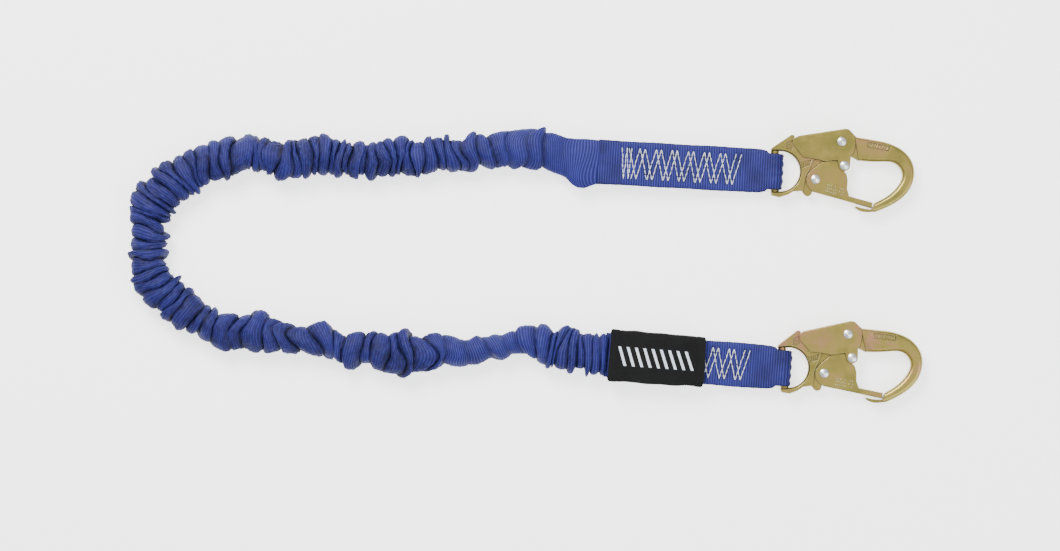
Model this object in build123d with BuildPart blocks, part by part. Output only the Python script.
"""Shock absorbing lanyard: a gathered tubular-webbing jacket with two double-locking snap hooks.

Frame, in millimetres: the lanyard lies flat on z = 0 in a U, +X points to the hooks, +Y to hook A,
and the origin is the centre of its footprint.
"""
import math
import os

from build123d import *

# ---- the lanyard ---------------------------------------------------------------------------------
HOOK_MID_Z = 8.1            # height of each hook's mid-plane above the ground
JACKET_MID_Z = 14.0         # height of the gathered jacket's centre line
BAR_A = (213.7, 80.2)       # centre of hook A's eye bar
BAR_B = (220.8, -87.3)      # centre of hook B's eye bar
TURN_A = 0.0                # each hook's heading in plan, degrees from +X
TURN_B = 3.7

# centre line of the gathered jacket, from hook A's strap round the bend to hook B's strap
JACKET_ROUTE = [
    (64.7, 88.4), (40.2, 89.7), (13.2, 96.3), (-22.8, 97.9), (-70.8, 93.9), (-122.8, 92.9),
    (-178.8, 93.7), (-230.8, 94.3), (-268.8, 88.9), (-298.8, 74.3), (-317.8, 50.3),
    (-323.8, 20.3), (-316.8, -10.7), (-296.8, -35.2), (-264.8, -50.2), (-216.8, -59.7),
    (-162.8, -67.7), (-106.8, -74.5), (-68.8, -72.9), (-36.8, -69.5), (-2.8, -63.3),
    (25.2, -69.3), (50.7, -74.3), (70.7, -75.8),
]
ROUND_SHARE = 0.45          # share of the shorter run that each tangent arc takes

JACKET_WIDTH, JACKET_HEIGHT, JACKET_WALL = 34.0, 28.0, 4.0
CORE_THICK, CORE_HEIGHT = 4.0, 16.0
ELASTIC_DIAMETER, ELASTIC_OFFSET = 4.0, 7.0

# ---- straps, stitching, sleeve -------------------------------------------------------------------
PLY = 3.1                   # thickness of the flattened webbing
SEAM_GAP = 0.3              # between a strap's end and the jacket's
STRAP_WIDTH = 38.0
LOOP_WIDTH = 30.6           # the webbing bunches a little where it goes round the bar
LOOP_BORE = 3.9
NECK_START, NECK_END = 7.0, 19.0    # where the loop widens out to the strap
LOOP_TAPER = 24.0           # distance from the bar at which the two plies meet
THREAD_WIDTH, THREAD_HEIGHT = 1.2, 0.45
STITCH_START, STITCH_PITCH, STITCH_CELLS = 30.0, 13.6, 7
STITCH_HALF_WIDTH = 13.2
SLEEVE_START, SLEEVE_LENGTH, SLEEVE_WIDTH, SLEEVE_WALL = 67.4, 82.0, 43.0, 1.2
SLEEVE_GAP = 0.5
LABEL_LENGTH, LABEL_WIDTH, LABEL_THICK = 66.0, 34.0, 4.0

# ---- hook, in its own plane: x from the eye bar to the bowl, y to the lever -----------------------
BAR_RADIUS = 3.5
BAR_HALF = 19.0             # half length of the bar, let into both arms of the eye
EYE_CENTRE, EYE_RADIUS = (4.0, 0.3), 17.2
EYE_MOUTH = 16.0            # the eye is open this far back, where the bar closes it
SHANK_HALF = 4.8            # half thickness of the eye and shank
RECESS_HALF = 3.2           # half thickness where the gate's cheeks pass
BOWL_HALF = 6.0             # half thickness of the spine and bowl
BOWL_ROUND = 3.2
EYE_BEVEL = 1.4            # the eye's mouth is opened out on both faces
GATE_IN, GATE_OUT = 3.5, 4.8        # gate cheeks, measured from the mid-plane
LEVER_IN, LEVER_OUT = 5.1, 6.6      # lever cheeks, outside the gate's
GATE_PIVOT = (34.2, -6.5)
LEVER_PIVOT = (56.5, 25.5)
LOCK_PIN = (58.8, 5.1)
PIN_RADIUS = 2.5
RUNNING_FIT = 0.08
HEAD_RADIUS, HEAD_HEIGHT, HEAD_RIM = 3.8, 1.4, 0.3
DIMPLE_RADIUS, DIMPLE_DEPTH = 1.4, 0.5      # where the rivet was set
HEAD_GAP = 0.1
NOSE_RADIUS = 54.3          # nose face, an arc about the gate pivot
PANEL_DEPTH = 1.0
MARK_HEIGHT, MARK_WIDTH, MARK_SLANT = 0.7, 0.9, 78.0    # plain raised bars in the panels
WIRE_RADIUS, COIL_RADIUS, COIL_PITCH, COIL_TURNS = 0.55, 3.9, 1.35, 2.5
SLOT_HALF, SLOT_RADIUS = 2.5, 5.2

os.makedirs("parts", exist_ok=True)


def save(builder, name):
    """Name the finished piece and write it."""
    builder.part.label = name
    export_step(builder.part, f"parts/{name}.step")


def route_radii(points):
    """Largest arc that each corner's two runs allow."""
    radii = []
    for before, here, after in zip(points, points[1:], points[2:]):
        back, ahead = Vector(*here) - Vector(*before), Vector(*after) - Vector(*here)
        half_turn = math.radians(back.get_angle(ahead)) / 2
        radii.append(ROUND_SHARE * min(back.length, ahead.length) / math.tan(half_turn))
    return radii


def hook_plane(bar, turn):
    """Mid-plane of a hook, with its origin on the eye bar."""
    along = (math.cos(math.radians(turn)), math.sin(math.radians(turn)), 0)
    return Plane(origin=(*bar, HOOK_MID_Z), x_dir=along, z_dir=(0, 0, 1))


def strap_plane(bar, end):
    """Mid-plane of a strap: x runs from the eye bar to the jacket, z is up."""
    start, finish = Vector(*bar, HOOK_MID_Z), Vector(*end, JACKET_MID_Z)
    along = (finish - start).normalized()
    across = Vector(0, 0, 1).cross(along)
    return Plane(origin=start, x_dir=along, z_dir=along.cross(across))


def rounded(plane, corners, radius):
    """Closed outline with every corner rounded."""
    with BuildSketch(plane) as outline:
        with BuildLine():
            Polyline(*corners, close=True)
        make_face()
        fillet(outline.vertices(), radius=radius)
    return outline.sketch


def plate_pair(outline, inner, outer):
    """The same plate on both sides of a plane, from `inner` to `outer` away from it."""
    raised = extrude(outline, amount=outer, both=True, mode=Mode.PRIVATE)
    core = extrude(outline, amount=inner, both=True, mode=Mode.PRIVATE)
    return raised - core


# ---- hook profiles (functions of the hook's plane) ------------------------------------------------
def shank_outline(plane):
    """Eye, shoulder and shank, with the D-shaped eye open towards the bar."""
    with BuildSketch(plane) as outline:
        with BuildLine():
            Polyline((24.5, -19.2), (22.4, -16.4), (15.7, -16.9), (11.0, -19.6), (3.6, -21.9),
                     (-3.4, -20.2), (-3.4, 19.9), (13.8, 31.4), (16.4, 30.8), (17.0, 21.6),
                     (19.5, 19.8), (49.0, 30.8), (60.0, 31.6), (68.7, 29.7), (68.7, 24.4),
                     (70.6, 9.3), (64.8, 12.7), (55.0, 12.7), (55.0, -10.6), (36.4, -14.0),
                     (32.4, -14.5), (31.2, -18.4))
            ThreePointArc((31.2, -18.4), (28.2, -21.0), (24.5, -19.2))
        make_face()
        fillet(outline.vertices().group_by(Axis.X)[0], radius=2.0)
        with Locations(EYE_CENTRE):
            Circle(EYE_RADIUS, mode=Mode.SUBTRACT)
        with Locations((EYE_CENTRE[0] - EYE_MOUTH / 2, EYE_CENTRE[1])):
            Rectangle(EYE_MOUTH, 2 * EYE_RADIUS, mode=Mode.SUBTRACT)
    return outline.sketch


def gate_recess_outline(plane):
    """Area where the gate's cheeks pass, from closed to fully open."""
    with BuildSketch(plane) as outline:
        with BuildLine():
            Polyline((23.4, -22.5), (24.2, -12.0), (26.0, -3.6), (29.4, 3.0), (33.0, 11.2),
                     (38.6, 15.4), (45.2, 17.4), (52.0, 15.6), (56.0, 13.4), (56.0, -22.5),
                     close=True)
        make_face()
        fillet(outline.vertices().sort_by(Axis.X)[2:4], radius=6.0)
    return outline.sketch


def bowl_outline(plane):
    """Spine, bowl and nose; the nose face is an arc about the gate pivot."""
    nose_low, nose_mid, nose_high = (
        (GATE_PIVOT[0] + NOSE_RADIUS * math.cos(math.radians(angle)),
         GATE_PIVOT[1] + NOSE_RADIUS * math.sin(math.radians(angle)))
        for angle in (-28.2, -25.0, -21.8)
    )
    with BuildSketch(plane) as outline:
        with BuildLine():
            Polyline((70.9, 9.2), (68.7, 24.4), (68.7, 29.6), (88.0, 26.4))
            Spline((88.0, 26.4), (108.4, 18.4), (118.2, 3.6), (115.8, -13.0), (101.0, -27.6),
                   (84.6, -34.7), tangents=((1, -0.17), (-1, -0.3)), tangent_scalars=(0.8, 0.8))
            Line((84.6, -34.7), nose_low)
            ThreePointArc(nose_low, nose_mid, nose_high)
            Spline(nose_high, (93.0, -22.4), (104.6, -12.2), (108.2, -3.4), (102.8, 6.3),
                   (90.5, 8.3), (77.3, 8.6), (70.9, 9.2), tangents=((1, 0.42), (-1, 0.1)),
                   tangent_scalars=(0.6, 0.6))
        make_face()
    return outline.sketch


def spine_facets(plane):
    """Wedges to cut where the thick spine slopes down to the thin shank, one for each side."""
    top, foot, heel = (68.7, 24.4), (70.9, 9.2), (78.0, 8.4)
    wedges = []
    for side in (1, -1):
        corners = [plane.from_local_coords(Vector(*spot, side * height))
                   for spot, height in ((top, BOWL_HALF), (foot, SHANK_HALF), (heel, BOWL_HALF))]
        slope = Plane(origin=corners[1], x_dir=corners[0] - corners[1],
                      z_dir=(corners[0] - corners[1]).cross(corners[2] - corners[1]))
        with BuildSketch(slope) as facet:
            with BuildLine():
                Polyline(*[slope.to_local_coords(corner) for corner in corners], close=True)
            make_face()
        wedges.append(extrude(facet.sketch, amount=3.0, dir=plane.z_dir * side,
                              mode=Mode.PRIVATE))
    return wedges


def lip_outline(plane):
    """Thin lip on the nose that the closed gate rests against."""
    with BuildSketch(plane) as outline:
        with BuildLine():
            Spline((86.5, -33.9), (79.0, -34.6), (72.6, -33.6), (68.3, -31.0))
            ThreePointArc((68.3, -31.0), (68.3, -29.9), (69.6, -29.9))
            Spline((69.6, -29.9), (74.0, -31.2), (79.0, -32.0), (83.0, -32.0), (87.5, -31.6))
            Line((87.5, -31.6), (86.5, -33.9))
        make_face()
    return outline.sketch


def gate_cheek_outline(plane):
    """Gate cheek: broad round the pivot, stepped under the lock pin, slim along the mouth."""
    corners = [(26.4, -6.6), (27.0, -10.8), (29.6, -14.9), (33.4, -17.6), (82.0, -31.2),
               (83.0, -26.5), (62.9, -21.0), (61.2, -14.8), (61.7, -7.4), (60.7, -2.2),
               (58.5, 0.5), (56.3, 3.5), (55.4, 6.8), (53.6, 9.2), (44.6, 9.4), (41.0, 8.1),
               (38.0, 6.4), (32.0, 1.9), (27.6, -2.6)]
    with BuildSketch(plane) as outline:
        with BuildLine():
            Polyline(*corners, close=True)
        make_face()
        fillet(outline.vertices().group_by(Axis.X)[0:4], radius=1.2)
    return outline.sketch


def lever_cheek_outline(plane):
    """Lever cheek, with a round lobe about the lock pin."""
    lobe = 4.7
    with BuildSketch(plane) as outline:
        with BuildLine():
            Polyline((14.9, 28.0), (20.3, 30.6), (60.2, 36.6), (62.9, 35.7), (68.5, 29.7),
                     (68.0, 23.2), (66.7, 17.6), (64.2, 13.0), (LOCK_PIN[0] + lobe, LOCK_PIN[1]))
            ThreePointArc((LOCK_PIN[0] + lobe, LOCK_PIN[1]), (LOCK_PIN[0], LOCK_PIN[1] - lobe),
                          (LOCK_PIN[0] - lobe, LOCK_PIN[1]))
            Polyline((LOCK_PIN[0] - lobe, LOCK_PIN[1]), (53.2, 9.6), (49.5, 9.6), (41.2, 8.8),
                     (37.9, 10.2), (27.7, 12.1), (23.5, 12.5), (15.6, 23.2), (14.9, 28.0))
        make_face()
    return outline.sketch


def band_between(plane, line, thickness):
    """Strip of sheet lying on the inner side of a line of corners."""
    first, last = Vector(*line[0]), Vector(*line[-1])
    along = (last - first).normalized()
    inward = Vector(-along.Y, along.X) * thickness
    inner = [Vector(*corner) + inward for corner in line]
    with BuildSketch(plane) as outline:
        with BuildLine():
            Polyline(*line, *[(corner.X, corner.Y) for corner in reversed(inner)], close=True)
        make_face()
    return outline.sketch


# ---- hook pieces ---------------------------------------------------------------------------------
def local_plane(plane, centre):
    """The hook's plane moved to a point of it."""
    return Plane(origin=plane.from_local_coords(Vector(*centre, 0)), x_dir=plane.x_dir,
                 z_dir=plane.z_dir)


def pin_profile(plane, grip):
    """Half section of a pin with domed, dimpled heads, on a plane whose y is the pin's axis."""
    dome = HEAD_HEIGHT - HEAD_RIM
    sphere = (HEAD_RADIUS**2 + dome**2) / (2 * dome)
    rim, top = grip + HEAD_RIM, grip + HEAD_HEIGHT

    def on_dome(radius):
        """Point of the dome at that distance from the axis."""
        return radius, top - sphere + math.sqrt(sphere**2 - radius**2)

    lip, middle = on_dome(DIMPLE_RADIUS), on_dome((DIMPLE_RADIUS + HEAD_RADIUS) / 2)
    floor = top - DIMPLE_DEPTH
    with BuildSketch(plane) as outline:
        with BuildLine():
            Polyline(lip, (0, floor), (0, -floor), (lip[0], -lip[1]))
            ThreePointArc((lip[0], -lip[1]), (middle[0], -middle[1]), (HEAD_RADIUS, -rim))
            Polyline((HEAD_RADIUS, -rim), (HEAD_RADIUS, -grip), (PIN_RADIUS, -grip),
                     (PIN_RADIUS, grip), (HEAD_RADIUS, grip), (HEAD_RADIUS, rim))
            ThreePointArc((HEAD_RADIUS, rim), middle, lip)
        make_face()
    return outline.sketch


def headed_pin(plane, centre, grip, name):
    """Rivet through the hook at `centre`, heads bearing `grip` from the mid-plane."""
    foot = local_plane(plane, centre)
    section = Plane(origin=foot.origin, x_dir=foot.x_dir, z_dir=-foot.y_dir)
    with BuildPart() as pin:
        revolve(pin_profile(section, grip), axis=Axis(foot.origin, foot.z_dir))
    save(pin, name)


def torsion_spring(plane, centre, name):
    """Coil round a rivet, in the slot at the hook's mid-plane."""
    foot = local_plane(plane, centre)
    bottom = foot.offset(-COIL_PITCH * COIL_TURNS / 2)
    with BuildPart() as spring:
        coil = Helix(pitch=COIL_PITCH, height=COIL_PITCH * COIL_TURNS, radius=COIL_RADIUS,
                     center=bottom.origin, direction=bottom.z_dir)
        start = Plane(origin=coil @ 0, z_dir=coil % 0)
        with BuildSketch(start):
            Circle(WIRE_RADIUS)
        sweep(path=coil)
    save(spring, name)


def raised_marks(plane, start, along, height, count):
    """Row of plain raised bars inside a panel."""
    step = (Vector(*along) - Vector(*start)) / count
    heading = math.degrees(math.atan2(step.Y, step.X))
    with BuildSketch(plane) as marks:
        for index in range(count):
            centre = Vector(*start) + step * (index + 0.5)
            with Locations(Location((centre.X, centre.Y), heading + MARK_SLANT)):
                Rectangle(height * (0.6 + 0.4 * (index % 2)), MARK_WIDTH)
    return marks.sketch


def hook_body(plane, name):
    """Forged body: round eye bar, shank with the gate's recess, thick spine and bowl."""
    spine_panel = [(78.4, 25.6), (97.6, 21.6), (96.9, 16.9), (78.0, 20.4)]
    shoulder_panel = [(9.6, 25.4), (14.8, 26.6), (14.8, 18.6), (9.6, 19.4)]
    throat_panel = [(20.9, 8.1), (31.2, 10.6), (29.2, 5.0), (22.4, 2.9)]
    with BuildPart() as bowl:
        extrude(bowl_outline(plane), amount=BOWL_HALF, both=True)
        rims = bowl.edges().filter_by(GeomType.BSPLINE)
        fillet(rims, radius=BOWL_ROUND)
        for wedge in spine_facets(plane):
            add(wedge, mode=Mode.SUBTRACT)
    with BuildPart() as body:
        extrude(shank_outline(plane), amount=SHANK_HALF, both=True)
        recess = gate_recess_outline(plane)
        add(plate_pair(recess, RECESS_HALF, SHANK_HALF + 1), mode=Mode.SUBTRACT)
        eye_rims = body.edges().filter_by(GeomType.CIRCLE).filter_by(
            lambda edge: edge.radius == EYE_RADIUS)
        chamfer(eye_rims, length=EYE_BEVEL)
        add(bowl.part)
        extrude(lip_outline(plane), amount=GATE_OUT, both=True)
        eye_axis = Plane(origin=plane.origin, x_dir=plane.x_dir, z_dir=plane.y_dir)
        with BuildSketch(eye_axis):
            Circle(BAR_RADIUS)
        extrude(amount=BAR_HALF, both=True)
        for corners, level in ((spine_panel, BOWL_HALF), (shoulder_panel, SHANK_HALF),
                               (throat_panel, SHANK_HALF)):
            panel = rounded(plane, corners, 0.7)
            add(plate_pair(panel, level - PANEL_DEPTH, level + 1), mode=Mode.SUBTRACT)
        for row, level, count in (
                ([(79.6, 23.1), (96.6, 19.4), 3.2], BOWL_HALF, 8),
                ([(12.1, 24.6), (12.1, 20.4), 3.0], SHANK_HALF, 2),
                ([(22.2, 5.6), (29.8, 7.5), 3.0], SHANK_HALF, 4)):
            marks = raised_marks(plane, *row, count)
            floor = level - PANEL_DEPTH
            add(plate_pair(marks, floor - 0.1, floor + MARK_HEIGHT))
        for pivot in (GATE_PIVOT, LEVER_PIVOT):
            with BuildSketch(local_plane(plane, pivot)) as drilling:
                Circle(PIN_RADIUS)
            extrude(drilling.sketch, amount=2 * BOWL_HALF, both=True, mode=Mode.SUBTRACT)
        for pivot, drop in ((GATE_PIVOT, -1), (LEVER_PIVOT, 1)):
            with BuildSketch(local_plane(plane, pivot)) as slot:
                Circle(SLOT_RADIUS)
                with Locations((0, drop * SLOT_RADIUS)):
                    Rectangle(2 * SLOT_RADIUS, 2 * SLOT_RADIUS)
            extrude(slot.sketch, amount=SLOT_HALF, both=True, mode=Mode.SUBTRACT)
    save(body, name)


def folded_plate(plane, cheek, edge, inner, outer, bore_at, bore_radius):
    """Steel sheet folded into a channel: two cheeks joined by a web along one edge."""
    thickness = outer - inner
    with BuildPart() as plate:
        add(plate_pair(cheek, inner, outer))
        extrude(band_between(plane, edge, thickness), amount=outer, both=True)
        bend = plate.edges().filter_by(lambda line: any(
            abs(abs(plane.to_local_coords(line.center()).Z) - outer) < 0.01
            and near_line(plane.to_local_coords(line.center()), a, b)
            for a, b in zip(edge, edge[1:])))
        fillet(bend, radius=thickness * 0.8)
        with BuildSketch(local_plane(plane, bore_at)) as bore:
            Circle(bore_radius)
        extrude(bore.sketch, amount=outer + 1, both=True, mode=Mode.SUBTRACT)
    return plate


def near_line(point, start, end):
    """True where a point lies on the line from start to end, in plan."""
    along = (Vector(*end) - Vector(*start)).normalized()
    offset = Vector(point.X, point.Y) - Vector(*start)
    return abs(along.cross(offset).Z) < 0.02


def make_hook(plane, side):
    """All the pieces of one double-locking snap hook."""
    hook_body(plane, f"hook_{side}_body")

    gate_edge = [(33.4, -17.6), (82.0, -31.2)]
    gate = folded_plate(plane, gate_cheek_outline(plane), gate_edge, GATE_IN, GATE_OUT,
                        GATE_PIVOT, PIN_RADIUS + RUNNING_FIT)
    save(gate, f"hook_{side}_gate")

    lever_edge = [(60.2, 36.6), (20.3, 30.6)]
    lever = folded_plate(plane, lever_cheek_outline(plane), lever_edge, LEVER_IN, LEVER_OUT,
                         LEVER_PIVOT, PIN_RADIUS + RUNNING_FIT)
    with BuildPart() as drilled_lever:
        add(lever.part)
        with BuildSketch(local_plane(plane, LOCK_PIN)) as bore:
            Circle(PIN_RADIUS)
        extrude(bore.sketch, amount=LEVER_OUT + 1, both=True, mode=Mode.SUBTRACT)
    save(drilled_lever, f"hook_{side}_lock_lever")

    headed_pin(plane, GATE_PIVOT, GATE_OUT + HEAD_GAP, f"hook_{side}_gate_rivet")
    headed_pin(plane, LEVER_PIVOT, LEVER_OUT + HEAD_GAP, f"hook_{side}_lever_rivet")
    headed_pin(plane, LOCK_PIN, LEVER_OUT, f"hook_{side}_lock_pin")
    torsion_spring(plane, GATE_PIVOT, f"hook_{side}_gate_spring")
    torsion_spring(plane, LEVER_PIVOT, f"hook_{side}_lever_spring")


# ---- lanyard pieces ------------------------------------------------------------------------------
def make_inside_route(section, name):
    """Piece that follows the jacket's centre line."""
    radii = route_radii(JACKET_ROUTE)
    with BuildPart() as piece:
        with BuildLine() as centre:
            FilletPolyline(*[(*point, JACKET_MID_Z) for point in JACKET_ROUTE], radius=radii)
        start = Plane(origin=centre.line @ 0, x_dir=(centre.line % 0).cross(Vector(0, 0, 1)),
                      z_dir=centre.line % 0)
        sweep(section(start), path=centre.line)
    save(piece, name)
    return piece.part.volume, sum(edge.length for edge in centre.edges()), radii


def jacket_section(plane):
    with BuildSketch(plane) as section:
        Ellipse(JACKET_WIDTH / 2, JACKET_HEIGHT / 2)
        Ellipse(JACKET_WIDTH / 2 - JACKET_WALL, JACKET_HEIGHT / 2 - JACKET_WALL,
                mode=Mode.SUBTRACT)
    return section.sketch


def core_section(plane):
    with BuildSketch(plane) as section:
        RectangleRounded(CORE_THICK, CORE_HEIGHT, radius=1.2)
    return section.sketch


def elastic_section(plane):
    with BuildSketch(plane) as section:
        with Locations((-ELASTIC_OFFSET, 0), (ELASTIC_OFFSET, 0)):
            Circle(ELASTIC_DIAMETER / 2)
    return section.sketch


def make_strap(plane, bar_direction, length, name):
    """Flattened webbing taken round the eye bar and sewn back on itself.

    Its side profile is extruded along the bar, so the loop sits square on a bar that the strap
    meets at a slight angle, and the plan outline then trims it.
    """
    side = Plane(origin=plane.origin, x_dir=plane.x_dir, z_dir=-plane.y_dir)
    in_plane = bar_direction - plane.z_dir * bar_direction.dot(plane.z_dir)
    overrun = 5.0
    half_loop, half_width, half_neck = LOOP_BORE + PLY, STRAP_WIDTH / 2, LOOP_WIDTH / 2
    with BuildPart() as strap:
        with BuildSketch(side):
            Circle(half_loop)
            with BuildLine():
                Polyline((0, half_loop), (LOOP_TAPER, PLY), (length + overrun, PLY),
                         (length + overrun, -PLY), (LOOP_TAPER, -PLY), (0, -half_loop),
                         close=True)
            make_face()
            Circle(LOOP_BORE, mode=Mode.SUBTRACT)
            with BuildLine():
                Polyline((0, LOOP_BORE), (LOOP_TAPER - 2, 0), (0, -LOOP_BORE), close=True)
            make_face(mode=Mode.SUBTRACT)
        extrude(amount=half_width + overrun, both=True, dir=in_plane)
        with BuildSketch(plane.offset(-half_loop - 1)):
            with BuildLine():
                Polyline((-half_loop - 1, -half_neck), (NECK_START, -half_neck),
                         (NECK_END, -half_width), (length, -half_width), (length, half_width),
                         (NECK_END, half_width), (NECK_START, half_neck),
                         (-half_loop - 1, half_neck), close=True)
            make_face()
        extrude(amount=2 * half_loop + 2, mode=Mode.INTERSECT)
    save(strap, name)


def make_stitching(plane, name):
    """Two crossing zig-zags of thread on each face of the strap."""
    half_pitch = STITCH_PITCH / 2
    with BuildPart() as thread:
        for level in (PLY, -PLY - THREAD_HEIGHT):
            for sense in (1, -1):
                turns = [(STITCH_START + half_pitch * index,
                          sense * STITCH_HALF_WIDTH * (-1) ** index)
                         for index in range(2 * STITCH_CELLS + 1)]
                with BuildSketch(plane.offset(level)):
                    with BuildLine():
                        Polyline(*turns)
                    trace(line_width=THREAD_WIDTH)
                extrude(amount=THREAD_HEIGHT)
    save(thread, name)


def make_sleeve(plane):
    """Fabric sleeve round the strap and its label pack."""
    low = -PLY - THREAD_HEIGHT - SLEEVE_GAP
    high = PLY + THREAD_HEIGHT + LABEL_THICK + 2 * SLEEVE_GAP
    middle, height = (low + high) / 2, high - low + 2 * SLEEVE_WALL
    mouth = Plane(origin=plane.from_local_coords(Vector(SLEEVE_START, 0, middle)),
                  x_dir=plane.y_dir, z_dir=plane.x_dir)
    with BuildPart() as sleeve:
        with BuildSketch(mouth):
            RectangleRounded(SLEEVE_WIDTH, height, radius=3.0)
            RectangleRounded(SLEEVE_WIDTH - 2 * SLEEVE_WALL, height - 2 * SLEEVE_WALL,
                             radius=1.8, mode=Mode.SUBTRACT)
        extrude(amount=SLEEVE_LENGTH)
    save(sleeve, "label_sleeve")

    level = PLY + THREAD_HEIGHT + 0.1
    with BuildPart() as pack:
        with BuildSketch(plane.offset(level)):
            with Locations((SLEEVE_START + SLEEVE_LENGTH / 2, 0)):
                RectangleRounded(LABEL_LENGTH, LABEL_WIDTH, radius=2.0)
        extrude(amount=LABEL_THICK)
    save(pack, "label_pack")


volume, length, radii = make_inside_route(jacket_section, "jacket")
section_area = math.pi * (JACKET_WIDTH * JACKET_HEIGHT / 4
                          - (JACKET_WIDTH / 2 - JACKET_WALL) * (JACKET_HEIGHT / 2 - JACKET_WALL))
print("jacket arcs", [round(radius) for radius in radii])
print("jacket length", round(length, 1), "volume", round(volume), "section x length",
      round(section_area * length))
make_inside_route(core_section, "absorber_core")
make_inside_route(elastic_section, "elastic_strands")

for side, bar, turn, end in (("a", BAR_A, TURN_A, JACKET_ROUTE[0]),
                             ("b", BAR_B, TURN_B, JACKET_ROUTE[-1])):
    hook_mid, strap_mid = hook_plane(bar, turn), strap_plane(bar, end)
    make_hook(hook_mid, side)
    reach = Vector(*bar, HOOK_MID_Z) - Vector(*end, JACKET_MID_Z)
    make_strap(strap_mid, hook_mid.y_dir, reach.length - SEAM_GAP, f"strap_{side}")
    make_stitching(strap_mid, f"stitching_{side}")
make_sleeve(strap_plane(BAR_B, JACKET_ROUTE[-1]))
